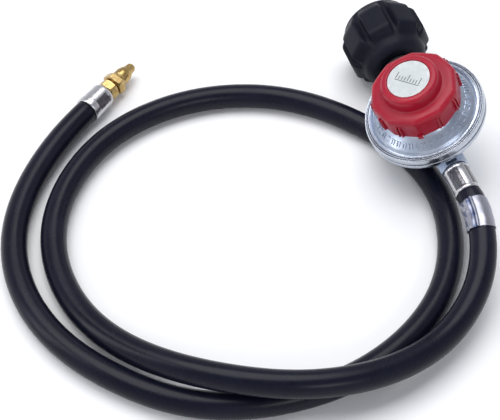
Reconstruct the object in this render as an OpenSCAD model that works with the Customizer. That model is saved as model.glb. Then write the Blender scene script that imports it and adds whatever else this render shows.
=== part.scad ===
// Low-pressure propane regulator with a hand-tightened tank coupling and a loose rubber hose.
// The row frame has +Z up and +Y along the inlet, and the hose lies on the surface z = 0.

/* [Body] */
// Roll of the cap axis about the port axis, in degrees
cap_tilt = 24; // [20:1:28]
// Radius of the crimped rim
rim_r = 33.4; // [33.2:0.1:34]
// Outer radius of the inlet neck
neck_r = 9.1; // [8.8:0.1:9.1]
// Distance from the cap axis to the inlet face
inlet_face = 37; // [36:0.5:38]
// Distance from the cap axis to the outlet face
outlet_face = 34; // [34:0.1:34.2]
// Width across flats of the outlet boss
outlet_af = 15; // [14:0.5:16]

/* [Bonnet and cap] */
// Radius of the bonnet's screw neck
bonnet_neck_r = 19; // [18.4:0.1:19.1]
// Radius of the cap's skirt
cap_skirt_r = 23.4; // [22.6:0.1:24]
// Radius of the cap's upper tier
cap_tier_r = 14.8; // [14.2:0.1:15.6]
// Height of the cap's top above the port axis
cap_top = 47; // [46:0.5:48]
// Radius of the round sticker
label_r = 11.5; // [10:0.1:11.9]

/* [Tank coupling] */
// Distance from the coupling nut's axis to the flat tops of its grip lobes
nut_grip_r = 23.9; // [23.5:0.1:24]
// Radius of the coupling nut's smooth mouth
nut_collar_r = 20.2; // [19.8:0.1:20.4]
// Number of grip lobes
nut_lobes = 8; // [6:1:10]
// Minor radius of the nut's trapezoidal thread
nut_thread_r = 15.7; // [15.3:0.1:15.9]
// Radius of the nipple's nose
nose_r = 7; // [6.6:0.1:7.2]

/* [Hose] */
// Outer radius of the hose
hose_r = 7; // [6.6:0.1:7]
// Outer radius of the crimped outlet ferrule
outlet_ferrule_r = 6.7; // [6.6:0.1:7]
// Outer radius of the far ferrule
far_ferrule_r = 7.9; // [7.5:0.1:8]
// Width across flats of the nozzle's hexagon
nozzle_af = 12.6; // [12:0.1:13]

/* [Hidden] */
$fn = 64;

// The cap axis crosses the port axis here; at this height the nut's lobes all but touch z = 0
port_x = 6;
port_y = -17;
axis_h = 24;

// Stack of the diaphragm chamber, measured along the cap axis from the port axis
seal_z = 13.4;
diaphragm_t = 1.2;
bonnet_z = seal_z + diaphragm_t;
flange_t = 2;
neck_top = 36.8;
chamber_r = 26;

// Valve train
lever_y = -12;
lever_z = 6;
slider_r = 3;
seat_y = 12.2;
fork_z = 8.8;

// Stations of the tank coupling along the port axis
hex_end = 42;
nut_back = 47.5;
lobe_start = 61.3;
lobe_end = 77.8;
nut_mouth = 86;
shoulder_y = 58.8;
nose_start = 61.5;
nose_tip = 80;

// Stations of the outlet
ferrule_end = 51;
barb_r = 4;

// Far end of the hose: the fitting lies along this direction, from the ferrule's rear face
far_end = [-174, 66, 8];
far_angle = atan2(15, 18);
far_ferrule_l = 17;
far_hex_l = 6;

// Route of the hose's centre line, from the outlet ferrule to the far ferrule
ROUTE = [
    [6, -68, axis_h], [6, -86, axis_h], [-5, -116, 17.5], [-31, -139, 12], [-61, -151, 15.5],
    [-91, -154, 20.5], [-120, -149, 22.5], [-147, -136, 21], [-171, -119, 17], [-191, -98, 11.5],
    [-206, -73, 8], [-213, -44, 7], [-211, -15, 7], [-199, 12, 7], [-179, 35, 7],
    [-154, 50, 7], [-125, 57, 7], [-96, 56, 7], [-67, 47, 7], [-43, 31, 7],
    [-23, 9, 7], [-7, -17, 7], [0, -46, 7], [-4, -75, 7], [-17, -103, 7],
    [-37, -124, 7], [-63, -139, 7], [-91, -147, 7], [-121, -148, 7], [-150, -143, 7],
    [-176, -131, 7], [-199, -111, 7], [-218, -88, 7], [-230, -61, 7], [-234, -32, 7],
    [-229, -3, 7], [-214, 26, 7], [-192, 51, 8], far_end
];
hose_rings = 74;
hose_sides = 12;
near_squeeze_r = 5.8;
far_squeeze_r = 6.3;
squeeze_depth = 15;

// ---------------------------------------------------------------- curves and sweeps

// Weights of a uniform cubic B-spline at parameter t of one span
function spline_weights(t) = [
    pow(1 - t, 3) / 6, (3 * pow(t, 3) - 6 * t * t + 4) / 6,
    (-3 * pow(t, 3) + 3 * t * t + 3 * t + 1) / 6, pow(t, 3) / 6
];

// Control point i, with one mirrored point beyond each end so that the curve starts at the first
function control(points, i) =
    i < 0 ? 2 * points[0] - points[1]
    : i >= len(points) ? 2 * points[len(points) - 1] - points[len(points) - 2]
    : points[i];

// Point of the curve at u, from 0 to the number of spans
function spline_point(points, u) =
    let (span = min(floor(u), len(points) - 2), w = spline_weights(u - span))
    w[0] * control(points, span - 1) + w[1] * control(points, span)
    + w[2] * control(points, span + 1) + w[3] * control(points, span + 2);

function unit(v) = v / norm(v);

// Direction of a polyline at point i
function heading(line, i) = unit(line[min(i + 1, len(line) - 1)] - line[max(i - 1, 0)]);

// One ring of the sweep: side and rise span the plane across the heading
function ring(centre, along, radius, sides) =
    let (side = unit(cross(along, abs(along.z) > 0.9 ? [1, 0, 0] : [0, 0, 1])), rise = cross(side, along))
    [for (k = [0 : sides - 1]) centre + radius * (cos(360 * k / sides) * side + sin(360 * k / sides) * rise)];

// Closed round tube through the points of a line, with one radius for each point
module sweep(line, radii, sides) {
    rings = [for (i = [0 : len(line) - 1]) ring(line[i], heading(line, i), radii[i], sides)];
    points = [for (r = rings) each r];
    last = (len(line) - 1) * sides;
    walls = [for (i = [0 : len(line) - 2], k = [0 : sides - 1])
        let (a = i * sides + k, b = i * sides + (k + 1) % sides)
        each [[a, b, b + sides], [a, b + sides, a + sides]]];
    start = [[for (k = [sides - 1 : -1 : 0]) k]];
    end = [[for (k = [0 : sides - 1]) last + k]];
    polyhedron(points = points, faces = concat(walls, start, end));
}

// Closed coil spring along +Z with flat end turns
module coil(coil_r, wire_r, length, turns) {
    steps = 14;
    count = turns * steps;
    flat = 0.12;
    line = [for (i = [0 : count])
        let (t = i / count, rise = min(max((t - flat) / (1 - 2 * flat), 0), 1))
        [coil_r * cos(360 * i / steps), coil_r * sin(360 * i / steps), wire_r + rise * (length - 2 * wire_r)]];
    sweep(line, [for (p = line) wire_r], 6);
}

// ---------------------------------------------------------------- placing and plain solids

// Regulator frame: origin where the cap axis meets the port axis, +Y to the inlet, +Z to the cap
module at_regulator() {
    translate([port_x, port_y, axis_h]) rotate([0, -cap_tilt, 0]) children();
}

// Far fitting frame: +Y along the fitting, origin at the ferrule's rear face
module at_far_end() {
    translate(far_end) rotate([0, 0, far_angle - 90]) children();
}

// Round bar along Y between two stations
module bar(r, y0, y1) {
    translate([0, y1, 0]) rotate([90, 0, 0]) cylinder(r = r, h = y1 - y0);
}

// Hexagonal or octagonal bar along Y, given by its width across flats
module prism(sides, flats, y0, y1) {
    translate([0, y1, 0]) rotate([90, 0, 0]) rotate([0, 0, 180 / sides])
        cylinder(r = flats / 2 / cos(180 / sides), h = y1 - y0, $fn = sides);
}

// Solid of revolution about Y from [radius, y] points
module spin_y(points) {
    rotate([-90, 0, 0]) rotate_extrude() polygon(points);
}

// Eight shallow crimp flats pressed into a ferrule, between two stations
module crimp_flats(r, depth, y0, y1) {
    for (k = [0 : 7]) rotate([0, 45 * k + 22.5, 0])
        translate([-r * 0.3, y0, r - depth]) cube([r * 0.6, y1 - y0, depth + 1]);
}

// ---------------------------------------------------------------- regulator body

module lower_body() {
    bowl = [
        [0, -7.6], [8, -7], [26, 1.3], [29.5, 3.8], [31, 7], [31.2, 10], [rim_r - 1, 10],
        [rim_r - 1, seal_z], [0, seal_z]
    ];
    chamber = [[0, 3], [15, 3], [20, 4.6], [chamber_r, 7.5], [chamber_r, seal_z + 1], [0, seal_z + 1]];
    inlet_port = [
        [0, 8], [5.2, 8], [5.2, 14.2], [4.55, 14.2], [4.55, 27], [6.6, 27], [6.6, inlet_face + 1],
        [0, inlet_face + 1]
    ];
    outlet_port = [[0, -outlet_face - 1], [5.6, -outlet_face - 1], [5.6, -24], [0, -24]];
    color("#a9b4c0") at_regulator() {
        difference() {
            union() {
                difference() {
                    rotate_extrude() polygon(bowl);
                    rotate_extrude() polygon(chamber);
                }
                spin_y([
                    [0, 26.8], [neck_r, 26.8], [neck_r, inlet_face - 3.1], [neck_r + 1, inlet_face - 2.8],
                    [neck_r + 1, inlet_face - 0.6], [neck_r + 0.4, inlet_face], [0, inlet_face]
                ]);
                prism(8, outlet_af, -outlet_face, -26.6);
                // Metal round the inlet's bores, and under the pocket
                translate([-7, 1.5, -6.2]) cube([14, 26, 13.1]);
                translate([-7.2, -27, -6.8]) cube([14.4, 16, 9.4]);
            }
            // Pocket for the slider and the lever's short arm
            translate([-6, -16.5, -4]) cube([12, 18.5, 9]);
            bar(slider_r + 0.06, 1.8, 9);
            spin_y(inlet_port);
            spin_y(outlet_port);
            // Gas ways from the seat up into the chamber, and from the pocket to the outlet
            translate([-2.5, 9, 0]) cube([5, 4, 8]);
            translate([-1.6, -25, 0]) cube([3.2, 9, 1.6]);
        }
        // Lugs that carry the lever pin
        for (side = [-1, 1]) difference() {
            translate([side * 7.5 - 1.4, lever_y - 2.5, 2.5]) cube([2.8, 5, 6]);
            translate([side * 7.5 - 2, lever_y, lever_z]) rotate([0, 90, 0]) cylinder(r = 1.05, h = 4);
        }
    }
}

module bonnet() {
    shell = [
        [rim_r - 1.4, bonnet_z], [rim_r - 1.4, bonnet_z + flange_t], [29.6, bonnet_z + flange_t],
        [28.9, bonnet_z + flange_t + 0.7], [28.2, 18.2], [22, 22.6], [20.4, 24.2],
        [bonnet_neck_r - 0.4, 25.2], [bonnet_neck_r - 0.4, 26.4], [bonnet_neck_r, 26.8],
        [bonnet_neck_r, neck_top - 0.6], [bonnet_neck_r - 0.6, neck_top], [13, neck_top],
        [13, 24], [19, 20.8], [chamber_r, 16.8], [chamber_r, bonnet_z]
    ];
    color("#b3bdca") at_regulator() difference() {
        union() {
            rotate_extrude() polygon(shell);
            // Raised marks around the sloping face
            for (k = [0 : 43]) rotate([0, 0, 360 * k / 44 + 4])
                translate([25.4, 0, 20]) rotate([0, 35, 0])
                    cube([k % 3 == 0 ? 3.6 : 2.6, k % 4 == 1 ? 1.8 : 1, 1.2], center = true);
        }
        // Breather hole
        rotate([0, 0, 115]) translate([24.6, 0, 12]) cylinder(r = 0.9, h = 14);
    }
}

module crimp_ring() {
    section = [
        [rim_r - 3, 17.5], [rim_r - 3, bonnet_z + flange_t + 0.05], [rim_r - 0.95, bonnet_z + flange_t + 0.05],
        [rim_r - 0.95, 9.9], [31.9, 9.9], [31.9, 9.2], [rim_r - 0.7, 9.2], [rim_r - 0.15, 9.9],
        [rim_r, 11], [rim_r, 12.4], [rim_r - 0.35, 12.9], [rim_r - 0.35, 13.5], [rim_r, 14],
        [rim_r, 16.2], [rim_r - 0.3, 17], [rim_r - 0.8, 17.5], [rim_r - 1.4, 17.7],
        [rim_r - 1.7, 17.35], [rim_r - 2.1, 17.35], [rim_r - 2.4, 17.7]
    ];
    color("#c3c7cc") at_regulator() rotate_extrude() polygon(section);
}

// ---------------------------------------------------------------- diaphragm and spring

module diaphragm() {
    section = [
        [2.6, seal_z], [18, seal_z], [20, seal_z + 0.9], [23, seal_z + 0.9], [25, seal_z],
        [rim_r - 1.2, seal_z], [rim_r - 1.2, bonnet_z], [24.6, bonnet_z],
        [22.7, bonnet_z + 1], [20.3, bonnet_z + 1], [18.6, bonnet_z], [2.6, bonnet_z]
    ];
    color("#2a2725") at_regulator() rotate_extrude() polygon(section);
}

module diaphragm_plate() {
    section = [
        [2.55, bonnet_z], [17, bonnet_z], [17.8, bonnet_z + 1], [17.8, bonnet_z + 2.2], [17, bonnet_z + 2.2],
        [16.4, bonnet_z + 1.2], [7.4, bonnet_z + 1.2], [7, bonnet_z + 1.9], [5.4, bonnet_z + 1.9],
        [5, bonnet_z + 1.2], [2.55, bonnet_z + 1.2]
    ];
    color("#bfc3c9") at_regulator() rotate_extrude() polygon(section);
}

module diaphragm_washer() {
    color("#b9bdc4") at_regulator() difference() {
        translate([0, 0, seal_z - 1.2]) cylinder(r = 9, h = 1.2);
        translate([0, 0, seal_z - 2]) cylinder(r = 2.55, h = 3);
    }
}

// Stem with the neck that the lever's fork rides in, and a riveted head over the plate
module diaphragm_stem() {
    section = [
        [0, 7], [2.3, 7], [2.6, 7.3], [2.6, 8], [1.2, 8], [1.2, 10.8], [3.6, 10.8], [3.6, seal_z - 1.2],
        [2.5, seal_z - 1.2], [2.5, bonnet_z + 1.2], [4.2, bonnet_z + 1.2], [4.2, bonnet_z + 1.9],
        [3, bonnet_z + 2.6], [0, bonnet_z + 2.6]
    ];
    color("#c9a24b") at_regulator() rotate_extrude() polygon(section);
}

module main_spring() {
    color("#8f949b") at_regulator() translate([0, 0, bonnet_z + 1.25])
        coil(coil_r = 9, wire_r = 0.95, length = 36 - bonnet_z - 1.3, turns = 7);
}

// Disc that the cap presses on the spring; its boss keeps the spring central
module spring_seat() {
    section = [
        [0, 33], [6.8, 33], [7.6, 33.8], [7.6, 36], [12, 36], [12.94, 36.4], [12.94, 37.6], [12.5, 38],
        [2.5, 38], [0, 37]
    ];
    color("#b4b8be") at_regulator() rotate_extrude() polygon(section);
}

// ---------------------------------------------------------------- cap

module red_cap() {
    outside = [
        [0, 25.4], [cap_skirt_r - 0.7, 25.4], [cap_skirt_r, 26.2], [cap_skirt_r, 37.2],
        [cap_skirt_r - 0.8, 38.5], [cap_skirt_r - 2.2, 39.2], [cap_tier_r + 1.6, 40.6],
        [cap_tier_r + 0.8, 41.3], [cap_tier_r + 0.4, cap_top - 1.9], [cap_tier_r - 0.3, cap_top - 0.6],
        [cap_tier_r - 1.5, cap_top], [0, cap_top]
    ];
    inside = [
        [0, 24], [bonnet_neck_r + 0.35, 24], [bonnet_neck_r + 0.35, 37.1], [13.4, 37.1], [13.4, 38.05],
        [11.4, 38.05], [11.4, 43.6], [10.8, 44.4], [0, 44.4]
    ];
    skirt_flats = 10;
    color("#c0152f") at_regulator() difference() {
        union() {
            intersection() {
                rotate_extrude() polygon(outside);
                union() {
                    rotate([0, 0, 9]) cylinder(r = cap_skirt_r + 0.9, h = 38.6, $fn = skirt_flats);
                    translate([0, 0, 38.2]) cylinder(r = cap_skirt_r - 0.6, h = 12);
                }
            }
            // Short grip ribs in pairs, on every other flat
            for (k = [0 : 4], side = [-1, 1]) rotate([0, 0, 72 * k + 27 + side * 7])
                translate([cap_skirt_r - 1.8, -0.55, 26]) cube([2.2, 1.1, 10.8]);
            // Small tab at the foot of the skirt
            rotate([0, 0, -63]) translate([cap_skirt_r - 1.6, -1.6, 25.4]) cube([2.1, 3.2, 2.6]);
        }
        rotate_extrude() polygon(inside);
        // Recess for the sticker
        translate([0, 0, cap_top - 0.8]) cylinder(r = label_r + 0.3, h = 2);
    }
}

module cap_label() {
    color("#dfe3e6") at_regulator() translate([0, 0, cap_top - 0.8]) cylinder(r = label_r, h = 0.5);
}

// ---------------------------------------------------------------- valve train

// Bell crank: the fork takes the stem's neck and the short arm moves the slider
module valve_lever() {
    color("#c7cbd1") at_regulator() difference() {
        union() {
            translate([-4.2, lever_y, lever_z]) rotate([0, 90, 0]) cylinder(r = 2.2, h = 8.4);
            // Short arm with a round tip
            translate([-1.8, lever_y - 0.8, 0]) cube([3.6, 1.6, lever_z]);
            translate([-1.8, lever_y, 0]) rotate([0, 90, 0]) cylinder(r = 0.8, h = 3.6);
            // Riser and fork
            translate([-3, lever_y - 1.2, lever_z]) cube([6, 2.4, fork_z + 1.2 - lever_z]);
            translate([-3.4, lever_y - 1.2, fork_z]) cube([6.8, 15.2 - 0.4, 1.2]);
        }
        translate([-5, lever_y, lever_z]) rotate([0, 90, 0]) cylinder(r = 1.08, h = 10);
        translate([-1.5, -2.3, fork_z - 1]) cube([3, 6, 3]);
    }
}

module lever_pin() {
    color("#d4d6da") at_regulator()
        translate([-8.5, lever_y, lever_z]) rotate([0, 90, 0]) cylinder(r = 1, h = 17);
}

// Rod with the short arm's notch at one end and the pad's cup at the other
module valve_slider() {
    color("#c9a24b") at_regulator() difference() {
        union() {
            bar(slider_r, -15, 8.2);
            bar(4.2, 8.6, 11.4);
            bar(slider_r, 8, 8.8);
        }
        translate([-4, lever_y - 1.7, -1]) cube([8, 3.4, 5]);
        bar(3.1, 9.9, 12);
    }
}

module valve_pad() {
    color("#1f1d1c") at_regulator() bar(3, 9.9, 11.1);
}

module orifice_seat() {
    color("#c9a24b") at_regulator() difference() {
        union() {
            bar(4.5, 14, 20.4);
            bar(2.4, seat_y + 0.4, 14);
            spin_y([[0.9, seat_y + 0.4], [0.9, seat_y], [1.4, seat_y], [2.2, seat_y + 0.4]]);
        }
        bar(0.9, 11, 22);
    }
}

// ---------------------------------------------------------------- tank coupling

module inlet_nipple() {
    section = [
        [1.8, 27.2], [6.1, 27.2], [6.55, 28], [6.55, inlet_face], [6.8, inlet_face], [6.8, hex_end],
        [nose_r, hex_end], [nose_r, shoulder_y], [9.5, shoulder_y], [9.5, nose_start - 0.6],
        [8.9, nose_start], [nose_r, nose_start + 1.2], [nose_r, nose_tip - 3.4],
        [nose_r - 0.9, nose_tip - 1.2], [nose_r - 2.6, nose_tip], [3.4, nose_tip], [3.4, 63.4], [1.8, 61.6]
    ];
    color("#c9a24b") at_regulator() {
        spin_y(section);
        difference() {
            prism(6, 16, inlet_face + 0.05, hex_end);
            bar(6.7, inlet_face - 1, hex_end + 1);
        }
    }
}

// Plug that shuts on the cone inside the nose when the flow is too great
module flow_poppet() {
    color("#b98f3f") at_regulator() spin_y([
        [0, 64.4], [1.2, 64.4], [2.3, 65.6], [2.5, 66], [2.5, 70.75], [3.3, 70.75], [3.3, 72.6], [1.6, 73.4],
        [0, 73.4]
    ]);
}

module flow_spring() {
    color("#8f949b") at_regulator() translate([0, 63.6, 0]) rotate([-90, 0, 0])
        coil(coil_r = 2.95, wire_r = 0.28, length = 7.1, turns = 6);
}

module poppet_retainer() {
    color("#b4b8be") at_regulator() spin_y([[2, 73.6], [3.38, 73.6], [3.38, 74.8], [2, 74.8]]);
}

// Bush that melts in a fire and lets the coupling draw back
module thermal_bushing() {
    color("#202226") at_regulator() spin_y([
        [nose_r + 0.06, 44], [10.4, 44], [11.1, 44.8], [11.1, 46.6], [9.9, 46.6], [9.9, 52.3],
        [13.4, 52.3], [13.4, 57.2], [nose_r + 0.06, 57.2]
    ]);
}

// Outline of the grip: flat-topped lobes with narrow grooves between them
function lobe_outline(tip_r, root_r) = [
    for (k = [0 : nut_lobes - 1], c = [[-0.5, root_r], [-0.44, root_r], [-0.36, tip_r], [0.36, tip_r], [0.44, root_r]])
        let (angle = 360 * (k + c[0]) / nut_lobes)
        c[1] * [cos(angle), sin(angle)]
];

module coupling_nut() {
    corner_r = nut_grip_r + 0.25;
    barrel = [
        [0, nut_back], [15.4, nut_back], [16.6, nut_back + 1.2], [18.4, 51.8], [19.4, 56], [nut_collar_r, 59],
        [nut_collar_r, nut_mouth - 1.2], [nut_collar_r - 1.2, nut_mouth], [0, nut_mouth]
    ];
    grip_envelope = [
        [0, 56.2], [19.9, 56.2], [corner_r - 0.5, lobe_start - 0.4], [corner_r, lobe_start + 0.6],
        [corner_r, lobe_end - 0.6], [corner_r - 0.5, lobe_end + 0.4], [nut_collar_r - 0.3, 84.6], [0, 84.6]
    ];
    thread_pitch = 4.2;
    color("#1b1d22") at_regulator() difference() {
        union() {
            spin_y(barrel);
            intersection() {
                spin_y(grip_envelope);
                translate([0, 85, 0]) rotate([90, cap_tilt, 0]) linear_extrude(32)
                    polygon(lobe_outline(nut_grip_r / cos(0.36 * 360 / nut_lobes), 20.8));
            }
        }
        bar(9.98, nut_back - 1, 53);
        bar(14, 51.8, 60);
        bar(nut_thread_r, 59, nut_mouth + 1);
        // Thread grooves, and the lead-in at the mouth
        for (k = [0 : 4]) spin_y([
            [nut_thread_r - 0.2, 62.8 + thread_pitch * k], [nut_thread_r + 1, 63.3 + thread_pitch * k],
            [nut_thread_r + 1, 64.9 + thread_pitch * k], [nut_thread_r - 0.2, 65.4 + thread_pitch * k]
        ]);
        spin_y([[0, nut_mouth - 1.6], [nut_thread_r - 0.1, nut_mouth - 1.6], [nut_thread_r + 1.6, nut_mouth + 0.1],
            [0, nut_mouth + 0.1]]);
    }
}

// ---------------------------------------------------------------- outlet

module outlet_stem() {
    section = [
        [2.4, -24.3], [5.1, -24.3], [5.55, -25], [5.55, -outlet_face], [barb_r + 0.4, -outlet_face - 0.1],
        [barb_r, -outlet_face - 3], [barb_r + 0.5, -outlet_face - 6], [barb_r, -outlet_face - 6.4],
        [barb_r + 0.5, -outlet_face - 10], [barb_r, -outlet_face - 10.4], [barb_r + 0.4, -outlet_face - 14],
        [barb_r - 0.6, -outlet_face - 15.4], [2.4, -outlet_face - 15.4]
    ];
    color("#c9a24b") at_regulator() spin_y(section);
}

module outlet_ferrule() {
    section = [
        [near_squeeze_r + 0.1, -outlet_face - 0.3], [outlet_ferrule_r - 0.3, -outlet_face - 0.3],
        [outlet_ferrule_r, -outlet_face - 0.9], [outlet_ferrule_r, -ferrule_end + 0.5],
        [outlet_ferrule_r - 0.3, -ferrule_end], [near_squeeze_r + 0.1, -ferrule_end]
    ];
    color("#d2d2d4") at_regulator() difference() {
        spin_y(section);
        crimp_flats(outlet_ferrule_r, 0.32, -ferrule_end + 2.2, -outlet_face - 3);
    }
}

// ---------------------------------------------------------------- hose and what is on it

function route_point(u) = spline_point(ROUTE, u);

module hose() {
    spans = len(ROUTE) - 1;
    first = ROUTE[0];
    last = ROUTE[spans];
    out_dir = [cos(far_angle), sin(far_angle), 0];
    line = concat(
        [first + [0, squeeze_depth, 0], first + [0, -0.08, 0], first + [0, -0.2, 0]],
        [for (i = [1 : hose_rings - 1]) route_point(spans * i / hose_rings)],
        [last - 0.2 * out_dir, last - 0.08 * out_dir, last + (squeeze_depth - 1) * out_dir]
    );
    count = len(line);
    radii = [for (i = [0 : count - 1]) i < 2 ? near_squeeze_r : i > count - 3 ? far_squeeze_r : hose_r];
    color("#16171b") sweep(line, radii, hose_sides);
}

// Foil band wrapped round the hose beside the outlet
module hose_tag() {
    near = route_point(0.42);
    far = route_point(1.12);
    run = far - near;
    turn = atan2(run.y, run.x);
    drop = acos(run.z / norm(run));
    color("#d8d9dd") translate(near) rotate([0, drop, turn]) difference() {
        cylinder(r = hose_r + 0.6, h = norm(run));
        translate([0, 0, -1]) cylinder(r = hose_r + 0.1, h = norm(run) + 2);
    }
}

module far_ferrule() {
    section = [
        [far_squeeze_r + 0.1, 0], [far_ferrule_r - 0.4, 0], [far_ferrule_r, 0.4], [far_ferrule_r, 4],
        [far_ferrule_r - 0.7, far_ferrule_l - 1], [far_ferrule_r - 1.5, far_ferrule_l],
        [4.1, far_ferrule_l], [4.1, far_ferrule_l - 1], [far_squeeze_r + 0.1, far_ferrule_l - 1]
    ];
    color("#d2d2d4") at_far_end() difference() {
        spin_y(section);
        crimp_flats(far_ferrule_r - 0.2, 0.5, 4.6, far_ferrule_l - 2);
    }
}

// Brass insert: its barb sits in the hose and its hexagon shows in front of the ferrule
module far_stem() {
    front = far_ferrule_l;
    color("#cfa850") at_far_end() difference() {
        union() {
            spin_y([
                [0, 3], [3, 3], [barb_r, 4.4], [barb_r - 0.5, 4.8], [barb_r, 8.4], [barb_r - 0.5, 8.8],
                [barb_r, 12.4], [barb_r, front + 0.4], [4.4, front + 0.4], [4.4, front + far_hex_l + 1], [0, front + far_hex_l + 1]
            ]);
            intersection() {
                prism(6, 11.4, front + 0.4, front + far_hex_l);
                spin_y([
                    [0, front], [5.6, front + 0.4], [6.6, front + 1.2], [6.6, front + far_hex_l - 0.8],
                    [5.6, front + far_hex_l], [0, front + far_hex_l]
                ]);
            }
        }
        bar(2.2, 2, front + far_hex_l + 2);
    }
}

// Brass burner nozzle: hexagon, waist, barrel and tapered tip
module nozzle() {
    base = far_ferrule_l + far_hex_l + 1;
    color("#d3aa4c") at_far_end() difference() {
        union() {
            intersection() {
                prism(6, nozzle_af, base, base + 5);
                spin_y([
                    [0, base], [5.9, base], [7.3, base + 0.9], [7.3, base + 4.1], [6, base + 5], [0, base + 5]
                ]);
            }
            spin_y([
                [0, base + 4], [5.4, base + 4.9], [4.3, base + 6.4], [4.3, base + 7], [4.8, base + 7.4],
                [4.8, base + 12], [3.9, base + 13.2], [3.3, base + 15.6], [3.3, base + 16.2], [2.6, base + 18.6],
                [1.9, base + 20], [0, base + 20]
            ]);
        }
        bar(0.8, base + 12, base + 21);
        bar(2.2, base - 1, base + 12.5);
    }
}

// ---------------------------------------------------------------- the nodes

lower_body();
bonnet();
crimp_ring();
diaphragm();
diaphragm_plate();
diaphragm_washer();
diaphragm_stem();
main_spring();
spring_seat();
red_cap();
cap_label();
valve_lever();
lever_pin();
valve_slider();
valve_pad();
orifice_seat();
inlet_nipple();
flow_poppet();
flow_spring();
poppet_retainer();
thermal_bushing();
coupling_nut();
outlet_stem();
outlet_ferrule();
hose();
hose_tag();
far_ferrule();
far_stem();
nozzle();
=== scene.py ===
"""Looks of the low-pressure propane regulator and its hose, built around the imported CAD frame."""
import math

import bpy
import numpy as np
from mathutils import Matrix, Vector


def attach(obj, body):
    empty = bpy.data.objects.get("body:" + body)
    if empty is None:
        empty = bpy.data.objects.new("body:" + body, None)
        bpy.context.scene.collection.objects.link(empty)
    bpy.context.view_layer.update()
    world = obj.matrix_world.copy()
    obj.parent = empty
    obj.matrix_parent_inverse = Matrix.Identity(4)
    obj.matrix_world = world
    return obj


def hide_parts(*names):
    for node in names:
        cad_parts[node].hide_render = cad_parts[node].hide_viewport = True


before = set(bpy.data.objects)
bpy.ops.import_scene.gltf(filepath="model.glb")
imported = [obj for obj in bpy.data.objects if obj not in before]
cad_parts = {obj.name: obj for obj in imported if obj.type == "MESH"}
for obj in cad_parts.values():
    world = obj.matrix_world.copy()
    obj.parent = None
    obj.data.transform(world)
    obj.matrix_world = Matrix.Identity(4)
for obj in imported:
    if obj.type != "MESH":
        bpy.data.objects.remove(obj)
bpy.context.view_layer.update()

MM = 0.001
SHRINK = Matrix.Scale(MM, 4)
# Regulator frame: origin where the cap axis meets the port axis, +Y to the inlet, +Z to the cap
REG_ORIGIN = (6, -17, 24)
REG_TILT = math.radians(-24)
REG = SHRINK @ Matrix.Translation(REG_ORIGIN) @ Matrix.Rotation(REG_TILT, 4, "Y")
PORT = REG @ Matrix.Rotation(math.radians(-90), 4, "X")
# Far fitting frame: origin at the ferrule's rear face, its +Z along the fitting
FAR_ORIGIN = (-174, 66, 8)
FAR_ANGLE = math.atan2(15, 18)
FAR = (
    SHRINK
    @ Matrix.Translation(FAR_ORIGIN)
    @ Matrix.Rotation(FAR_ANGLE - math.pi / 2, 4, "Z")
    @ Matrix.Rotation(math.radians(-90), 4, "X")
)
HOSE_R = 7.0
RIB_STEP = 0.7
RIB_DEPTH = 0.045
CAP_FLATS = 10
NUT_LOBES = 8
THREAD_PITCH = 4.2
CREASE_ANGLE = 38


# ---------------------------------------------------------------- materials
def node(tree, kind, **settings):
    made = tree.nodes.new(kind)
    for key, value in settings.items():
        setattr(made, key, value)
    return made


def wire(tree, source, target):
    tree.links.new(source, target)


def coordinates(tree, source, stretch):
    """Object space in metres, or the piece's own lathe frame in millimetres."""
    if source == "local":
        where = node(tree, "ShaderNodeAttribute", attribute_name="local").outputs["Vector"]
    else:
        where = node(tree, "ShaderNodeTexCoord").outputs["Object"]
    mapping = node(tree, "ShaderNodeMapping")
    mapping.inputs["Scale"].default_value = stretch
    wire(tree, where, mapping.inputs["Vector"])
    return mapping.outputs["Vector"]


def noise(tree, where, scale, detail=3.0, roughness=0.55):
    made = node(tree, "ShaderNodeTexNoise")
    made.inputs["Scale"].default_value = scale
    made.inputs["Detail"].default_value = detail
    made.inputs["Roughness"].default_value = roughness
    wire(tree, where, made.inputs["Vector"])
    return made.outputs["Fac"]


def spread(tree, value, low, high, to_low, to_high):
    made = node(tree, "ShaderNodeMapRange", clamp=True)
    for key, number in (("From Min", low), ("From Max", high), ("To Min", to_low), ("To Max", to_high)):
        made.inputs[key].default_value = number
    wire(tree, value, made.inputs["Value"])
    return made.outputs["Result"]


def times(tree, a, b, operation="MULTIPLY"):
    made = node(tree, "ShaderNodeMath", operation=operation, use_clamp=operation == "MULTIPLY")
    wire(tree, a, made.inputs[0])
    if isinstance(b, (int, float)):
        made.inputs[1].default_value = b
    else:
        wire(tree, b, made.inputs[1])
    return made.outputs["Value"]


def blend_colour(tree, amount, a, b):
    made = node(tree, "ShaderNodeMix", data_type="RGBA")
    wire(tree, amount, made.inputs[0])
    for socket, value in ((made.inputs[6], a), (made.inputs[7], b)):
        if isinstance(value, tuple):
            socket.default_value = (*value, 1.0)
        else:
            wire(tree, value, socket)
    return made.outputs[2]


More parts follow.
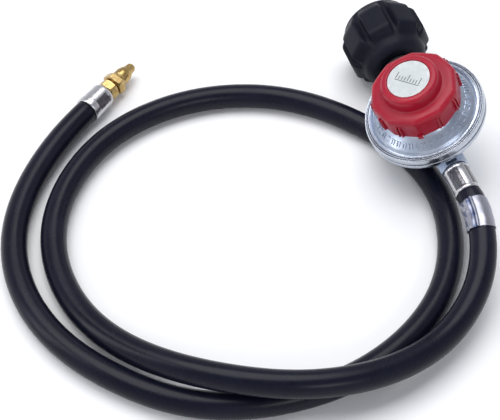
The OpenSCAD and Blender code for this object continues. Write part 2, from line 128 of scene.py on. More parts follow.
def material(name, colour, second, rough, metal=0.0, patch=60.0, grain=(1500.0, 0.00002), swell=None,
             streak=None, edge_wear_and_sheen=None, dust=None, gloss=0.5, painted_shade_colour=None):
    """Procedural finish.

    colour and second are mixed by broad patches, rough is (low, high), grain and swell are (scale, depth)
    of fine and broad bump, streak is (stretch, scale, depth, darkening) in the lathe frame,
    edge_wear_and_sheen is (colour, amount) on edges (wear on most pieces, a painted highlight on the foil's
    lips and flap), dust is (colour, amount) in broad thin veils, painted_shade_colour is the colour of the
    shade painted where a mesh sets it.
    """
    made = bpy.data.materials.new(name)
    made.use_nodes = True
    tree = made.node_tree
    tree.nodes.clear()
    shader = node(tree, "ShaderNodeBsdfPrincipled")
    output = node(tree, "ShaderNodeOutputMaterial")
    wire(tree, shader.outputs["BSDF"], output.inputs["Surface"])
    where = coordinates(tree, "object", (1, 1, 1))
    broad = noise(tree, where, patch, 4.0)
    fine = noise(tree, where, grain[0], 2.0)
    base = blend_colour(tree, spread(tree, broad, 0.35, 0.65, 0, 1), colour, second)
    roughness = spread(tree, broad, 0.3, 0.7, rough[0], rough[1])
    scuffs = noise(tree, coordinates(tree, "object", (1, 0.12, 1)), 700.0, 2.0)
    roughness = times(tree, roughness, spread(tree, scuffs, 0.58, 0.72, 0.0, 0.08), "ADD")
    if streak:
        lines = noise(tree, coordinates(tree, "local", streak[0]), streak[1], 3.0, 0.6)
        dark = tuple(c * (1 - streak[3]) for c in colour)
        base = blend_colour(tree, spread(tree, lines, 0.42, 0.66, 0, 1), base, dark)
        roughness = times(tree, roughness, spread(tree, lines, 0.3, 0.7, -0.05, 0.09), "ADD")
    if dust:
        veil = noise(tree, coordinates(tree, "object", (1, 1, 0.4)), 34.0, 5.0, 0.65)
        base = blend_colour(tree, spread(tree, veil, 0.5, 0.75, 0, dust[1]), base, dust[0])
    # Edges take a lighter colour: wear on most pieces, a painted highlight on the foil's lips and flap.
    if edge_wear_and_sheen:
        edge = node(tree, "ShaderNodeAttribute", attribute_name="edge").outputs["Fac"]
        edge_patches = spread(tree, noise(tree, where, 420.0, 3.0), 0.38, 0.62, 0.15, 1.0)
        base = blend_colour(tree, times(tree, times(tree, edge, edge_patches), edge_wear_and_sheen[1]), base, edge_wear_and_sheen[0])
    # Painted shade: the places a mesh sets take this dark colour (rim grooves, the foil's seam and creases,
    # and the ferrule panels as a painted dark reflection).
    if painted_shade_colour:
        place = node(tree, "ShaderNodeAttribute", attribute_name="painted_shade").outputs["Fac"]
        mottle = spread(tree, noise(tree, where, 900.0, 3.0), 0.35, 0.65, 0.75, 1.0)
        base = blend_colour(tree, times(tree, place, mottle), base, painted_shade_colour)
    wire(tree, base, shader.inputs["Base Color"])
    wire(tree, roughness, shader.inputs["Roughness"])
    shader.inputs["Metallic"].default_value = metal
    shader.inputs["Specular IOR Level"].default_value = gloss
    bump = node(tree, "ShaderNodeBump")
    bump.inputs["Distance"].default_value = grain[1]
    wire(tree, fine, bump.inputs["Height"])
    last = bump
    for extra in (swell, streak and (None, streak[2])):
        if not extra:
            continue
        more = node(tree, "ShaderNodeBump")
        more.inputs["Distance"].default_value = extra[1]
        wire(tree, lines if extra[0] is None else noise(tree, where, extra[0], 2.0), more.inputs["Height"])
        wire(tree, last.outputs["Normal"], more.inputs["Normal"])
        last = more
    wire(tree, last.outputs["Normal"], shader.inputs["Normal"])
    return made


ZINC = material("zinc casting", (0.53, 0.59, 0.69), (0.40, 0.47, 0.60), (0.24, 0.38), 1.0, 70,
                (2600, 0.000012), (330, 0.00005), edge_wear_and_sheen=((0.80, 0.83, 0.88), 0.6),
                dust=((0.38, 0.44, 0.55), 0.45))
# The rim's grooves take the near-black colour below: painted shade in the grooves.
RIM = material("rolled rim", (0.56, 0.60, 0.66), (0.45, 0.49, 0.56), (0.20, 0.32), 1.0, 50,
               (2400, 0.000006), edge_wear_and_sheen=((0.74, 0.77, 0.82), 0.25), painted_shade_colour=(0.10, 0.115, 0.15))
# The pressed panels take the near-black colour below: a painted dark reflection on the flats.
FERRULE = material("bright ferrule", (0.66, 0.65, 0.67), (0.55, 0.54, 0.57), (0.18, 0.32), 1.0, 90,
                   (2400, 0.000006), (240, 0.00003), streak=((1.0, 1.0, 0.05), 1.3, 0.00001, 0.25),
                   edge_wear_and_sheen=((0.85, 0.85, 0.85), 0.6), painted_shade_colour=(0.10, 0.10, 0.115))
RED = material("red cap plastic", (0.36, 0.004, 0.020), (0.30, 0.005, 0.024), (0.26, 0.38), 0.0, 50,
               (1900, 0.000014), (180, 0.00003), edge_wear_and_sheen=((0.42, 0.03, 0.05), 0.35), gloss=0.3)
STICKER = material("sticker vinyl", (0.50, 0.54, 0.545), (0.46, 0.50, 0.51), (0.35, 0.48), 0.0, 120,
                   (1300, 0.00001), (120, 0.00003), edge_wear_and_sheen=((0.80, 0.78, 0.78), 1.0))
INK = material("sticker ink", (0.02, 0.022, 0.03), (0.05, 0.05, 0.06), (0.4, 0.55), 0.0, 300,
               (2600, 0.000006))
NUT = material("nut plastic", (0.0042, 0.0048, 0.011), (0.006, 0.007, 0.014), (0.36, 0.5), 0.0, 40,
               (2100, 0.00003), (150, 0.00004), edge_wear_and_sheen=((0.018, 0.020, 0.036), 0.6),
               dust=((0.009, 0.010, 0.019), 0.4), gloss=0.12)
BUSH = material("bush plastic", (0.012, 0.012, 0.015), (0.018, 0.018, 0.021), (0.5, 0.62), 0.0, 90,
                (1700, 0.00002))
RUBBER = material("hose rubber", (0.0042, 0.0047, 0.0115), (0.0055, 0.0060, 0.0145), (0.22, 0.34), 0.0, 34,
                  (2200, 0.00002), (260, 0.00003), edge_wear_and_sheen=((0.016, 0.018, 0.033), 0.25),
                  dust=((0.009, 0.010, 0.024), 0.45), gloss=0.17)
SEAL = material("seal rubber", (0.018, 0.017, 0.016), (0.026, 0.024, 0.023), (0.55, 0.7), 0.0, 110,
                (1500, 0.00002))
BRASS = material("machined brass", (0.52, 0.36, 0.135), (0.40, 0.26, 0.085), (0.2, 0.34), 1.0, 140,
                 (2200, 0.000008), streak=((0.08, 0.08, 1.6), 0.8, 0.000006, 0.3),
                 edge_wear_and_sheen=((0.80, 0.64, 0.36), 0.55))
CAD_BRASS = material("turned brass", (0.70, 0.46, 0.16), (0.58, 0.36, 0.12), (0.2, 0.34), 1.0, 140,
                     (1800, 0.00001), (420, 0.00002), dust=((0.40, 0.25, 0.09), 0.5))
SPRING = material("spring steel", (0.42, 0.43, 0.45), (0.33, 0.33, 0.36), (0.25, 0.4), 1.0, 180,
                  (2400, 0.00001), dust=((0.25, 0.2, 0.15), 0.4))
STAMPED = material("stamped steel", (0.56, 0.57, 0.59), (0.46, 0.47, 0.50), (0.26, 0.42), 1.0, 100,
                   (2000, 0.00001), (380, 0.00002), dust=((0.35, 0.34, 0.32), 0.4))
# The foil's seam and creases take the dark navy colour as painted shade; its lips and flap take the lighter
# edge colour as a painted highlight.
FOIL = material("wrapped foil", (0.36, 0.36, 0.41), (0.29, 0.30, 0.36), (0.30, 0.46), 0.92, 90,
                (1500, 0.00002), (300, 0.00012), edge_wear_and_sheen=((0.66, 0.68, 0.76), 0.4), painted_shade_colour=(0.055, 0.075, 0.16))


# ---------------------------------------------------------------- meshes
def rounded(points, radius, steps=3):
    """Profile of (r, z) or (r, z, corner radius) points with its corners rounded, as (r, z, edge) rows."""
    rows = []
    count = len(points)
    for i, p in enumerate(points):
        here = Vector(p[:2])
        r = p[2] if len(p) > 2 else radius
        if i in (0, count - 1) or r == 0:
            rows.append((here.x, here.y, 0.0))
            continue
        before = Vector(points[i - 1][:2]) - here
        after = Vector(points[i + 1][:2]) - here
        reach = min(r, before.length * 0.45, after.length * 0.45)
        a = here + before.normalized() * reach
        b = here + after.normalized() * reach
        sharp = min(1.0, before.angle(-after) / 0.7)
        for k in range(steps + 1):
            t = k / steps
            q = a * (1 - t) ** 2 + here * 2 * t * (1 - t) + b * t * t
            rows.append((q.x, q.y, sharp * math.sin(math.pi * (0.15 + 0.7 * t))))
    return rows


def divided(rows, step):
    """The same profile with no stretch longer than step."""
    out = [rows[0]]
    for a, b in zip(rows, rows[1:]):
        n = max(1, math.ceil(math.hypot(b[0] - a[0], b[1] - a[1]) / step))
        out += [tuple(u + (v - u) * k / n for u, v in zip(a, b)) for k in range(1, n + 1)]
    return out


def mesh_object(name, verts, faces, matrix, edge, finish, smooth=True, painted_shade=None):
    """Object from vertices in a local frame in millimetres.

    The local place, the edge value and the painted shade of each vertex are kept for the materials.
    """
    mesh = bpy.data.meshes.new(name)
    mesh.from_pydata([tuple(v) for v in verts], [], faces)
    local = mesh.attributes.new("local", "FLOAT_VECTOR", "POINT")
    local.data.foreach_set("vector", np.array(verts, np.float32).reshape(-1))
    wear = mesh.attributes.new("edge", "FLOAT", "POINT")
    wear.data.foreach_set("value", np.array(edge, np.float32))
    shade_paint = mesh.attributes.new("painted_shade", "FLOAT", "POINT")
    shade_paint.data.foreach_set("value", np.array(painted_shade or [0.0] * len(verts), np.float32))
    mesh.transform(matrix)
    mesh.validate()
    mesh.polygons.foreach_set("use_smooth", [smooth] * len(mesh.polygons))
    made = bpy.data.objects.new(name, mesh)
    bpy.context.scene.collection.objects.link(made)
    mesh.materials.append(finish)
    return made


def lathe(name, rows, matrix, finish, segments=96, shape=None, closed=False, shade_paint=None):
    """Turned piece; shape(angle, r, z) may change the radius round the axis; shade_paint(angle, r, z), if
    given, tells where shade is painted on it.
    """
    angles = [2 * math.pi * k / segments for k in range(segments)]
    verts, edge, rings, painted_shade = [], [], [], []
    for r, z, e in rows:
        if r < 1e-6:
            rings.append([len(verts)] * segments)
            verts.append((0, 0, z))
            edge.append(e)
            painted_shade.append(0.0)
            continue
        rings.append(list(range(len(verts), len(verts) + segments)))
        for a in angles:
            q = shape(a, r, z) if shape else r
            verts.append((q * math.cos(a), q * math.sin(a), z))
            edge.append(e)
            painted_shade.append(shade_paint(a, r, z) if shade_paint else 0.0)
    faces = []
    pairs = list(zip(rings, rings[1:])) + ([(rings[-1], rings[0])] if closed else [])
    for lower, upper in pairs:
        for k in range(segments):
            n = (k + 1) % segments
            face = [lower[k], lower[n], upper[n], upper[k]]
            faces.append(list(dict.fromkeys(face)))
    return mesh_object(name, verts, [f for f in faces if len(f) > 2], matrix, edge, finish, painted_shade=painted_shade)


def bead(verts, faces, edge, matrix, size, top=0.72):
    """Adds a small block with sloped sides, from its base centre; size is length, width and height."""
    start = len(verts)
    for z, k, e in ((-0.2, 1.0, 0.0), (size[2] * 0.6, 0.94, 0.7), (size[2], top, 1.0)):
        for x, y in ((-1, -1), (1, -1), (1, 1), (-1, 1)):
            verts.append(matrix @ Vector((x * size[0] / 2 * k, y * size[1] / 2 * k, z)))
            edge.append(e)
    for ring in (0, 4):
        for k in range(4):
            n = (k + 1) % 4
            faces.append([start + ring + k, start + ring + n, start + ring + 4 + n, start + ring + 4 + k])
    faces.append([start + 8, start + 9, start + 10, start + 11])
    faces.append([start + 3, start + 2, start + 1, start])


def smoothstep(a, b, x):
    t = min(max((x - a) / (b - a), 0.0), 1.0)
    return t * t * (3 - 2 * t)


def crisp(piece):
    """Smooth shading that keeps the sharp corners."""
    piece.data.set_sharp_from_angle(angle=math.radians(CREASE_ANGLE))


# ---------------------------------------------------------------- hose
ROUTE = [
    (6, -68, 24), (6, -86, 24), (-5, -116, 17.5), (-31, -139, 12), (-61, -151, 15.5),
    (-91, -154, 20.5), (-120, -149, 22.5), (-147, -136, 21), (-171, -119, 17), (-191, -98, 11.5),
    (-206, -73, 8), (-213, -44, 7), (-211, -15, 7), (-199, 12, 7), (-179, 35, 7),
    (-154, 50, 7), (-125, 57, 7), (-96, 56, 7), (-67, 47, 7), (-43, 31, 7),
    (-23, 9, 7), (-7, -17, 7), (0, -46, 7), (-4, -75, 7), (-17, -103, 7),
    (-37, -124, 7), (-63, -139, 7), (-91, -147, 7), (-121, -148, 7), (-150, -143, 7),
    (-176, -131, 7), (-199, -111, 7), (-218, -88, 7), (-230, -61, 7), (-234, -32, 7),
    (-229, -3, 7), (-214, 26, 7), (-192, 51, 8), (-174, 66, 8),
]


def spline(points, u):
    """Uniform cubic B-spline that starts and ends at the end points."""
    ctrl = [2 * points[0] - points[1], *points, 2 * points[-1] - points[-2]]
    i = min(int(u), len(points) - 2)
    t = u - i
    w = ((1 - t) ** 3 / 6, (3 * t**3 - 6 * t * t + 4) / 6, (-3 * t**3 + 3 * t * t + 3 * t + 1) / 6, t**3 / 6)
    return sum((ctrl[i + k] * w[k] for k in range(4)), Vector((0, 0, 0)))


def evenly(points, step):
    """Points at equal distances along a polyline."""
    p = np.array(points)
    s = np.concatenate([[0], np.cumsum(np.linalg.norm(np.diff(p, axis=0), axis=1))])
    n = max(2, round(s[-1] / step))
    at = np.linspace(0, s[-1], n + 1)
    return [Vector([np.interp(q, s, p[:, k]) for k in range(3)]) for q in at], float(s[-1])


def frames(line):
    """Side and rise vectors along a line, carried without twist."""
    out = []
    side = Vector((1, 0, 0))
    for i in range(len(line)):
        along = (line[min(i + 1, len(line) - 1)] - line[max(i - 1, 0)]).normalized()
        side = (side - along * side.dot(along)).normalized()
        out.append((along, side, along.cross(side)))
    return out


def tube(name, line, radius, sides, finish, edge):
    """Closed tube; radius(i), in millimetres, and edge(i) are for the ring at point i."""
    carried = frames(line)
    verts, wear = [], []
    for i, (p, (along, side, rise)) in enumerate(zip(line, carried)):
        for k in range(sides):
            a = 2 * math.pi * k / sides
            verts.append(p + (side * math.cos(a) + rise * math.sin(a)) * radius(i))
            wear.append(edge(i))
    faces = [
        [i * sides + k, i * sides + (k + 1) % sides, (i + 1) * sides + (k + 1) % sides, (i + 1) * sides + k]
        for i in range(len(line) - 1)
        for k in range(sides)
    ]
    faces.append(list(range(sides))[::-1])
    faces.append(list(range((len(line) - 1) * sides, len(line) * sides)))
    return mesh_object(name, verts, faces, SHRINK, wear, finish)


controls = [Vector(p) for p in ROUTE]
fine_line = [spline(controls, u) for u in np.linspace(0, len(controls) - 1, 3000)]
hose_line, hose_length = evenly(fine_line, RIB_STEP)


def hose_radius(i):
    # Fine cross ribs, with the two ends drawn in where the ferrules grip
    grip = 1 - 0.05 * math.exp(-i / 2.2) - 0.04 * math.exp(-(len(hose_line) - 1 - i) / 2.2)
    return (HOSE_R - 0.04 + (RIB_DEPTH if i % 2 else -RIB_DEPTH)) * grip


hose = tube("hose_rubber_tube", hose_line, hose_radius, 32, RUBBER, lambda i: 1.0 if i % 2 else 0.0)


# ---------------------------------------------------------------- bonnet
def build_bonnet():
    profile = rounded([
        (32.0, 14.6), (32.0, 16.6, 0.3), (29.7, 16.6, 0.5), (28.9, 17.3, 0.6), (28.2, 18.2, 1.4),
        (22, 22.6, 1.6), (20.4, 24.2, 0.8), (18.6, 25.2, 0.4), (18.6, 26.4, 0.3), (19, 26.8, 0.3),
        (19, 36.2, 0.5), (18.4, 36.8, 0.5), (13, 36.8, 0.4), (13, 24, 0.5), (19, 20.8, 0.8), (26, 16.8, 0.5),
        (26, 14.6, 0),
    ], 0.4)
    shell = lathe("bonnet_shell", divided(profile, 2.0), REG, ZINC, 128, closed=True)
    # Ring of raised marks in place of the maker's lettering
    verts, faces, edge = [], [], []
    slope = Matrix.Rotation(math.radians(35.4), 4, "Y")
    for k in range(44):
        turn = Matrix.Rotation(math.radians(360 / 44 * k + 4), 4, "Z")
        seat = turn @ Matrix.Translation((25.6, 0, 20.05)) @ slope
        kind = (k * 7 + k // 3) % 5
        if kind in (0, 3):
            bead(verts, faces, edge, seat @ Matrix.Translation((0, -0.75, 0)), (3.3, 0.62, 0.6))
            bead(verts, faces, edge, seat @ Matrix.Translation((0, 0.75, 0)), (3.3, 0.62, 0.6))
        if kind in (1, 3, 4):
            bead(verts, faces, edge, seat @ Matrix.Translation((-1.3, 0, 0)), (0.55, 2.0, 0.6))
            bead(verts, faces, edge, seat @ Matrix.Translation((1.3, 0, 0)), (0.55, 2.0, 0.6))
        if kind == 2:
            bead(verts, faces, edge, seat, (3.2, 0.6, 0.6))
            bead(verts, faces, edge, seat, (0.6, 2.0, 0.6))
        if kind == 4:
            bead(verts, faces, edge, seat @ Matrix.Translation((0, 0.9, 0)), (2.6, 0.5, 0.6))
    marks = mesh_object("bonnet_raised_marks", verts, faces, REG, edge, ZINC, smooth=False)
    return shell, marks


bonnet, bonnet_marks = build_bonnet()


# ---------------------------------------------------------------- rolled rim
def rim_groove_shade(a, r, z):
    """Painted shade in the two grooves on top of the rim and the one round its side."""
    on_top = z < 17.2 and 31.2 < r < 32.7
    return 1.0 if on_top or 12.6 < z < 13.8 else 0.0


rim = lathe("rolled_rim", divided(rounded([
    (32.45, 16.65), (30.3, 16.65), (30.3, 17.5, 0.3), (30.8, 17.85, 0.3), (31.2, 17.4, 0.1),
    (31.3, 16.95, 0.1), (31.55, 16.95, 0.1), (31.65, 17.4, 0.1), (31.95, 17.7, 0.2), (32.2, 17.4, 0.1),
    (32.3, 16.95, 0.1), (32.5, 16.95, 0.1), (32.6, 17.3, 0.1), (32.95, 17.4, 0.2), (33.3, 16.9, 0.3),
    (33.45, 16.2, 0.4), (33.45, 14.0, 0.25), (33.0, 13.5, 0.2), (33.0, 12.9, 0.2), (33.45, 12.4, 0.25),
    (33.45, 11, 0.4), (33.25, 9.9, 0.4), (32.7, 9.2, 0.3), (31.9, 9.2, 0.2), (31.9, 9.9, 0.2),
    (32.45, 9.9, 0),
], 0.3), 1.0), REG, RIM, 192, closed=True, shade_paint=rim_groove_shade)


# ---------------------------------------------------------------- cap
def cap_shape(a, r, z):
    """Shallow flats on the skirt, fading out over the shoulder."""
    if r < 20.5:
        return r
    u = abs((math.degrees(a) + 3) / (360 / CAP_FLATS) % 1 - 0.5) * 2
    return r - 0.8 * (1 - u**2) * smoothstep(20.5, 23.8, r)


def build_cap():
    outside = rounded([
        (19.35, 25.4), (23.4, 25.4, 0.4), (23.75, 26.0, 0.4), (24.1, 36.4, 1.1), (23.3, 38.3, 1.4),
        (20.8, 39.3, 1.5), (17.0, 39.5, 1.0), (16.2, 39.7, 0.8), (15.6, 45.4, 0.9), (14.6, 46.8, 0.9),
        (12.6, 47.1, 0.6), (11.85, 46.95, 0.25), (11.8, 46.25, 0.2), (0, 46.25),
    ], 0.5)
    shell = lathe("cap_shell", divided(outside, 1.3), REG, RED, 240, cap_shape)
    inner = lathe("cap_bore", divided(rounded([
        (0, 44.4), (10.8, 44.4), (11.4, 43.6), (11.4, 38.05), (13.4, 38.05), (13.4, 37.1), (19.35, 37.1),
        (19.35, 26.0), (19.35, 25.4),
    ], 0.2), 3.0), REG, RED, 96)
    verts, faces, edge = [], [], []
    for angle in (225, 280, 312, 350, 22, 60, 96, 132, 168, 196):
        for side in (-1, 1):
            seat = (
                Matrix.Rotation(math.radians(angle + side * 2.3), 4, "Z")
                @ Matrix.Translation((22.6, 0, 31.0))
                @ Matrix.Rotation(math.radians(90), 4, "Y")
            )
            bead(verts, faces, edge, seat, (9.4, 0.8, 1.95), 0.85)
    tab = (
        Matrix.Rotation(math.radians(-110), 4, "Z")
        @ Matrix.Translation((22.6, 0, 26.7))
        @ Matrix.Rotation(math.radians(90), 4, "Y")
    )
    bead(verts, faces, edge, tab, (2.6, 3.2, 2.2), 0.85)
    ribs = mesh_object("cap_ribs_and_tab", verts, faces, REG, edge, RED, smooth=False)
    return shell, inner, ribs


cap_shell, cap_bore, cap_ribs = build_cap()


def build_label():
    disc = lathe("sticker_disc", rounded([
        (0, 46.22), (11.5, 46.22, 0.05), (11.5, 46.62, 0.12), (10.7, 46.68, 0.1), (10.55, 46.62, 0.1),
        (0, 46.62),
    ], 0.1), REG, STICKER, 96)
    # Plain index strokes in place of the printed rating
    verts, faces, edge = [], [], []
    line = Matrix.Rotation(math.radians(-52), 4, "Z")
    for k in range(9):
        tall = 4.4 if k % 4 == 0 else 2.4
        seat = line @ Matrix.Translation(((k - 4) * 1.75, -0.6, 46.60))
        bead(verts, faces, edge, seat @ Matrix.Translation((0, tall / 2 - 1.2, 0)), (0.42, tall, 0.05), 0.95)
    bead(verts, faces, edge, line @ Matrix.Translation((0, -2.3, 46.60)), (15.2, 0.38, 0.05), 0.97)
    strokes = mesh_object("sticker_strokes", verts, faces, REG, edge, INK, smooth=False)
    return disc, strokes


label, label_strokes = build_label()


# ---------------------------------------------------------------- tank coupling nut
# How far the lobes stand out along the nut, as (distance from the regulator's centre, share)
GRIP = [
    (47.5, 0), (56.0, 0), (58.0, 0.32), (60.0, 0.75), (61.6, 0.97), (62.8, 1), (75.5, 1), (77.6, 0.93),
    (79.6, 0.7), (82.0, 0.34), (84.4, 0.04), (84.9, 0), (90, 0),
]


def nut_shape(a, r, z):
    """Flat-topped lobes with narrow grooves, growing out of the round barrel."""
    amount = np.interp(z, [g[0] for g in GRIP], [g[1] for g in GRIP])
    if amount <= 0 or r < 19.0:
        return r
    pitch = 360 / NUT_LOBES
    u = 0.5 - abs(math.degrees(a) / pitch % 1 - 0.5)
    flat = 23.95 + 20 * (1 / math.cos(math.radians(u * pitch)) - 1)
    lobe = 1 - smoothstep(0.32, 0.45, u)
    groove = 21.2 - 2.0 * max(0.0, u - 0.4)
    return r + amount * (groove + (flat - groove) * lobe - 20.2)


def thread_shape(a, r, z):
    """Trapezoidal thread cut as one long helix."""
    if not 60.2 < z < 84.0 or abs(r - 15.7) > 0.05:
        return r
    phase = (z / THREAD_PITCH - a / (2 * math.pi)) % 1
    cut = smoothstep(0.22, 0.36, phase) * (1 - smoothstep(0.64, 0.78, phase))
    return r + 1.05 * cut * smoothstep(60.2, 61.5, z)


def build_nut():
    outside = divided(rounded([
        (9.98, 47.5), (15.4, 47.5, 0.5), (16.6, 48.7, 0.8), (18.4, 51.8, 1.5), (19.4, 56, 1.5),
        (20.2, 59, 1.0), (20.2, 84.9, 0.4), (20.0, 85.5, 0.3), (19.3, 86.0, 0.4), (17.3, 86.0, 0.3),
    ], 0.5), 1.1)
    mouth = divided(rounded([(17.3, 86.0), (15.7, 84.4, 0.2), (15.7, 84.2, 0)], 0.2), 0.6)
    bore = divided([(15.7, 84.2, 0.0), (15.7, 59.4, 0.0)], 0.35)
    back = divided(rounded([
        (15.7, 59.4), (15.5, 59.0, 0.2), (14, 59.0, 0.2), (14, 53.0, 0.3), (9.98, 53.0, 0.3), (9.98, 47.5),
    ], 0.2), 2.0)
    outer = lathe("nut_grip", outside, PORT, NUT, 320, nut_shape)
    inner = lathe("nut_thread", mouth + bore[1:] + back[1:], PORT, NUT, 160, thread_shape)
    return outer, inner


nut_outer, nut_inner = build_nut()


# ---------------------------------------------------------------- ferrules and brass
def pressed_panels(r0, flat, panels, first, z0, z1, ridge, deep):
    """Shape of flat panels pressed into a ferrule between z0 and z1, and where a dark reflection is painted
    on them.

    first is the angle between two panels, in degrees, and ridge is the share of the pitch left round at
    each side of a panel.
    """
    pitch = 360 / panels

    def amount(a, r, z):
        if r < r0:
            return 0.0, 0.0
        band = smoothstep(z0 - 0.2, z0 + 0.1, z) * (1 - smoothstep(z1 - 0.1, z1 + 0.2, z))
        u = (math.degrees(a) - first) / pitch % 1
        u = min(u, 1 - u)
        return band * smoothstep(ridge - 0.012, ridge + 0.012, u), u

    def shape(a, r, z):
        k, u = amount(a, r, z)
        pressed = min(flat / math.cos(math.radians((0.5 - u) * pitch)), r) - deep
        return r + (pressed - r) * k

    return shape, lambda a, r, z: amount(a, r, z)[0]


# Pressed flats of both ferrules, each painted near-black as a dark reflection.
shape, shade_paint = pressed_panels(6.6, 6.95, 4, 207, -48.9, -36.4, 0.2, 0.22)
outlet_ferrule = lathe("outlet_ferrule_shell", divided(rounded([
    (5.9, -51), (6.9, -51, 0.25), (7.25, -50.5, 0.25), (7.25, -49.7, 0.3), (7.1, -49.2, 0.3),
    (7.1, -36.2, 0.3), (7.25, -35.7, 0.3), (7.25, -34.9, 0.3), (6.9, -34.3, 0.25), (5.9, -34.3, 0),
], 0.3), 0.35), PORT, FERRULE, 240, shape, True, shade_paint)

shape, shade_paint = pressed_panels(7.0, 7.2, 3, 266, 4.4, 13.4, 0.3, 0.25)
far_ferrule = lathe("far_ferrule_shell", divided(rounded([
    (6.4, 0), (7.6, 0, 0.3), (7.95, 0.5, 0.3), (7.95, 3.6, 0.6), (7.8, 5.0, 0.6), (7.35, 15.4, 0.5),
    (6.4, 16.9, 0.5), (4.1, 17.0, 0.2), (4.1, 16.0, 0.2), (6.4, 16.0, 0),
], 0.3), 0.4), FAR, FERRULE, 240, shape, True, shade_paint)


def hexagon(flats, turn):
    """Shape of a hexagon by its width across the flats and its turn in degrees."""
    def shape(a, r, z):
        u = (math.degrees(a) - turn) / 60 % 1 - 0.5
        return min(r, flats / 2 / math.cos(math.radians(u * 60)))
    return shape


far_hex = lathe("far_brass_hexagon", divided(rounded([
    (2.2, 15), (4.0, 15, 0), (4.0, 17.3, 0.1), (5.5, 17.35, 0.1), (6.5, 18.2, 0.3), (6.5, 22.2, 0.3),
    (5.5, 23.0, 0.2), (4.4, 23.05, 0.1), (4.4, 24.0, 0.1), (2.2, 24.0, 0),
], 0.2), 0.6), FAR, BRASS, 168, hexagon(11.4, 14))

nozzle_hex = lathe("nozzle_hexagon", divided(rounded([
    (2.2, 24.0), (5.8, 24.0, 0.15), (7.2, 24.8, 0.3), (7.2, 28.0, 0.3), (6.0, 28.9, 0.3), (5.2, 29.2, 0.4),
    (4.75, 30.2, 0.4), (4.75, 30.9, 0.2), (5.0, 31.2, 0.2),
], 0.2), 0.5), FAR, BRASS, 168, hexagon(12.6, 22))
nozzle_tip = lathe("nozzle_barrel_and_tip", rounded([
    (4.6, 31.0), (5.0, 31.2, 0.15), (5.0, 34.6, 0.4), (4.5, 36.8, 0.5), (4.1, 37.9, 0.3), (3.5, 38.4, 0.3),
    (3.35, 39.8, 0.3), (3.15, 40.2, 0.2), (2.9, 42.8, 0.6), (2.1, 44.0, 0.6), (0.9, 44.2, 0.15),
    (0.8, 43.5, 0.1), (0.8, 38, 0), (0, 38),
], 0.3), FAR, BRASS, 96)


# ---------------------------------------------------------------- foil band
def bell(x, centre, width):
    return math.exp(-(((x - centre) / width) ** 2))


def foil_at(deg, s):
    """Height over the hose, endwise shift, painted highlight and painted shade at an angle and a share s of
    the band's length.

    The foil has a pinched seam with two lips, a creased flap beside it and a smooth wrap elsewhere.
    """
    lip = bell(deg, 118, 5.5) + bell(deg, 137, 6.0) * 0.75 * (0.7 + 0.3 * math.sin(9 * s))
    gap = bell(deg, 127, 4.0) * bell(s, 0.45, 0.2) * 0.9
    flap = smoothstep(139, 150, deg) * (1 - smoothstep(196, 208, deg))
    crease = 0.34 + 0.16 * math.sin(deg * 0.31 + 11 * s) + 0.12 * math.sin(23 * s - deg * 0.17)
    wave = 0.05 * math.sin(deg * 0.05 + 6 * s) + 0.03 * math.sin(17 * s + deg * 0.11)
    height = 0.16 + wave + flap * crease + lip - gap * 0.5
    shift = (0.9 * math.sin(math.radians(deg) - 0.6) + 0.35 * flap * math.sin(deg * 0.2)) * (s - 0.5) * 2
    # Painted shade: dark in the pinched seam between the lips and in patches over the creased flap.
    seam = smoothstep(112, 120, deg) * (1 - smoothstep(134, 142, deg))
    shade = flap * smoothstep(0.1, 0.6, math.sin(deg * 0.16 + 7 * s) * math.sin(9 * s + 1.1))
    painted_shade = min(1.0, seam * (0.75 + 0.25 * math.sin(14 * s)) + 0.8 * shade)
    # The lips and half the flap get the lighter edge colour: a painted highlight.
    return height, shift, min(1.0, lip + 0.5 * flap), painted_shade


def build_foil():
    """Thin wrap round the hose: an outer skin, an inner skin and the two ends between them."""
    line = evenly([spline(controls, u) for u in np.linspace(0.40, 1.14, 60)], 0.35)[0]
    sides = 144
    verts, edge, faces, painted_shade = [], [], [], []
    count = len(line)
    for shell in (1, 0):
        for i, (p, (along, side, rise)) in enumerate(zip(line, frames(line))):
            for k in range(sides):
                a = 2 * math.pi * k / sides
                # The third value is the painted highlight on the lips and flap, the fourth the painted
                # shade.
                height, shift, sharp, shade_paint = foil_at(math.degrees(a), i / (count - 1))
                r = max(HOSE_R + 0.16 + height * shell, HOSE_R + 0.08)
                verts.append(p + along * shift + (side * math.cos(a) + rise * math.sin(a)) * r)
                edge.append(sharp)
                painted_shade.append(shade_paint)
    n = count * sides
    for i in range(count - 1):
        for k in range(sides):
            a, b = i * sides + k, i * sides + (k + 1) % sides
            faces.append([a, b, b + sides, a + sides])
            faces.append([n + b, n + a, n + a + sides, n + b + sides])
    e = (count - 1) * sides
    for k in range(sides):
        m = (k + 1) % sides
        faces.append([m, k, n + k, n + m])
        faces.append([e + k, e + m, n + e + m, n + e + k])
    return mesh_object("foil_band", verts, faces, SHRINK, edge, FOIL, painted_shade=painted_shade)


foil = build_foil()

# ---------------------------------------------------------------- finishes of the CAD nodes that stay
CAD_FINISH = {
    "lower_body": ZINC, "diaphragm": SEAL, "diaphragm_plate": STAMPED, "diaphragm_washer": STAMPED,
    "diaphragm_stem": CAD_BRASS, "main_spring": SPRING, "spring_seat": STAMPED, "valve_lever": STAMPED,
    "lever_pin": SPRING, "valve_slider": CAD_BRASS, "valve_pad": SEAL, "orifice_seat": CAD_BRASS,
    "inlet_nipple": CAD_BRASS, "flow_poppet": CAD_BRASS, "flow_spring": SPRING, "poppet_retainer": STAMPED,
    "thermal_bushing": BUSH, "outlet_stem": CAD_BRASS,
}
for name, finish in CAD_FINISH.items():
    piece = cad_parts[name]
    piece.data.materials.clear()
    piece.data.materials.append(finish)

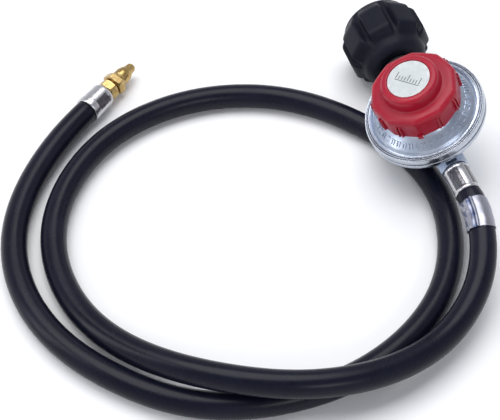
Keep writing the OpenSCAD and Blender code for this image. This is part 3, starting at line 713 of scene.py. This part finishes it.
# ---------------------------------------------------------------- what rides on what
RIDES = [
    (hose, "regulator", "hose", "hose_rubber"), (foil, "regulator", "hose_tag", "foil"),
    (bonnet, "regulator", "bonnet", "zinc_bonnet"), (bonnet_marks, "regulator", "bonnet", "zinc_bonnet"),
    (rim, "regulator", "crimp_ring", "crimp_steel"),
    (cap_shell, "cap", "red_cap", "red_plastic"), (cap_bore, "cap", "red_cap", "red_plastic"),
    (cap_ribs, "cap", "red_cap", "red_plastic"), (label, "cap", "cap_label", "sticker"),
    (label_strokes, "cap", "cap_label", "sticker"),
    (nut_outer, "coupling", "coupling_nut", "black_nut"),
    (nut_inner, "coupling", "coupling_nut", "black_nut"),
    (outlet_ferrule, "regulator", "outlet_ferrule", "ferrule_steel"),
    (far_ferrule, "regulator", "far_ferrule", "ferrule_steel"),
    (far_hex, "regulator", "far_stem", "brass"), (nozzle_hex, "regulator", "nozzle", "brass"),
    (nozzle_tip, "regulator", "nozzle", "brass"),
]
for piece, body, cad_node, slot in RIDES:
    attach(piece, body)
    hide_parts(cad_node)
for piece in (rim, far_hex, nozzle_hex, nozzle_tip, outlet_ferrule, far_ferrule, bonnet, cap_shell, cap_bore,
              nut_outer, nut_inner, label):
    crisp(piece)

# ---------------------------------------------------------------- studio
scene = bpy.context.scene
floor_mesh = bpy.data.meshes.new("studio_floor")
floor_mesh.from_pydata([(-6, -6, 0), (6, -6, 0), (6, 6, 0), (-6, 6, 0)], [], [(0, 1, 2, 3)])
floor = bpy.data.objects.new("studio_floor", floor_mesh)
scene.collection.objects.link(floor)
floor_mesh.materials.append(
    material("studio paper", (0.93, 0.93, 0.935), (0.92, 0.92, 0.925), (0.7, 0.8), 0.0, 6, (900, 0.000005))
)

world = bpy.data.worlds.new("studio")
scene.world = world
world.use_nodes = True
tree = world.node_tree
tree.nodes.clear()
out = node(tree, "ShaderNodeOutputWorld")
sky = node(tree, "ShaderNodeBackground")
place = node(tree, "ShaderNodeTexCoord")
split = node(tree, "ShaderNodeSeparateXYZ")
wire(tree, place.outputs["Generated"], split.inputs["Vector"])
upward = spread(tree, split.outputs["Z"], -0.1, 0.9, 0, 1)
wire(tree, blend_colour(tree, upward, (0.95, 0.96, 1.0), (0.20, 0.21, 0.25)), sky.inputs["Color"])
sky.inputs["Strength"].default_value = 1.0
wire(tree, sky.outputs["Background"], out.inputs["Surface"])


def softbox(name, place, aim, size, power, tint=(1, 1, 1)):
    data = bpy.data.lights.new(name, "AREA")
    data.shape = "RECTANGLE"
    data.size, data.size_y = size
    data.energy = power
    data.color = tint
    lamp = bpy.data.objects.new(name, data)
    scene.collection.objects.link(lamp)
    lamp.location = place
    lamp.rotation_euler = (Vector(aim) - Vector(place)).to_track_quat("-Z", "Y").to_euler()


softbox("top box", (-0.15, 0.35, 1.3), (-0.1, -0.02, 0), (1.4, 1.0), 17.0)
softbox("front box", (0.1, -1.3, 0.95), (-0.05, -0.05, 0.02), (0.5, 0.35), 3.0, (1.0, 0.99, 0.98))
softbox("left strip", (-1.25, 0.1, 0.7), (-0.1, -0.02, 0), (0.3, 1.1), 4.0, (0.96, 0.98, 1.0))

CAMERA_TARGET = Vector((-102.7, -26.4, 0)) * MM
CAMERA_AZIMUTH = math.radians(-17.1)
CAMERA_ELEVATION = math.radians(52)
CAMERA_DISTANCE = 0.605
camera_data = bpy.data.cameras.new("camera")
camera_data.lens = 78.8
camera_data.sensor_width = 36
camera = bpy.data.objects.new("camera", camera_data)
scene.collection.objects.link(camera)
toward = Vector((
    math.sin(CAMERA_AZIMUTH) * math.cos(CAMERA_ELEVATION),
    -math.cos(CAMERA_AZIMUTH) * math.cos(CAMERA_ELEVATION),
    math.sin(CAMERA_ELEVATION),
))
camera.location = CAMERA_TARGET + toward * CAMERA_DISTANCE
camera.rotation_euler = (-toward).to_track_quat("-Z", "Y").to_euler()
scene.camera = camera
scene.view_settings.view_transform = "Standard"
